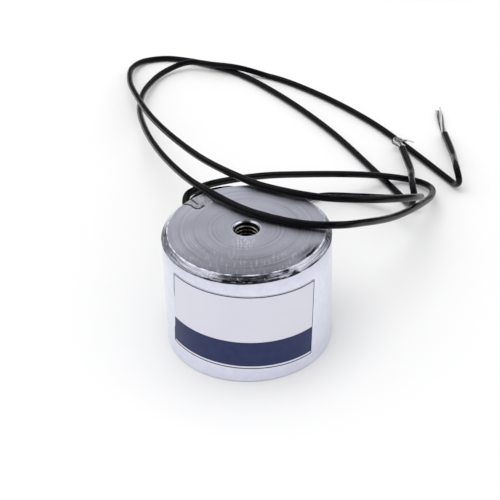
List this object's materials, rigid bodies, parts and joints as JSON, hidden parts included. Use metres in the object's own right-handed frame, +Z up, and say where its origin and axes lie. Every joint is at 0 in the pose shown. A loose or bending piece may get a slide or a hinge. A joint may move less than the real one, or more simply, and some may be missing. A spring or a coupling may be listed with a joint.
{
  "type": "holding electromagnet",
  "caption": "Round pot-type holding electromagnet with a flat pole face, a tapped hole in its back, a label on the side and thin bare-ended leads out of a rim slot.",
  "frame": {"origin": "centre of the holding face, which the magnet stands on", "axes": "+Z up the magnet's axis to the back face, the label faces -Y, the lead slot is at the back left"},
  "size_m": [0.048, 0.0817, 0.0159],
  "materials": {
    "nickel_steel": "turned low-carbon steel, bright nickel plate",
    "bobbin_nylon": "moulded natural nylon",
    "copper": "enamelled copper wire",
    "tape": "polyester film tape",
    "solder": "tin solder",
    "sleeve": "insulating sleeve",
    "potting": "cast black epoxy resin",
    "slot_resin": "grey casting resin, uneven",
    "lead_jacket": "black PVC insulation",
    "tinned_strands": "tinned copper strands",
    "label": "printed silver-white foil"
  },
  "bodies": {
    "root": {"pot_core": "nickel_steel", "bobbin": "bobbin_nylon", "winding": "copper", "winding_tape": "tape", "start_tail": "copper", "finish_tail": "copper", "solder_joint_1": "solder", "solder_joint_2": "solder", "joint_sleeve_1": "sleeve", "joint_sleeve_2": "sleeve", "potting_ring": "potting", "slot_resin": "slot_resin", "lead_1": "lead_jacket", "lead_2": "lead_jacket", "lead_1_strands": "tinned_strands", "lead_2_strands": "tinned_strands", "label": "label"}
  },
  "joints": []
}
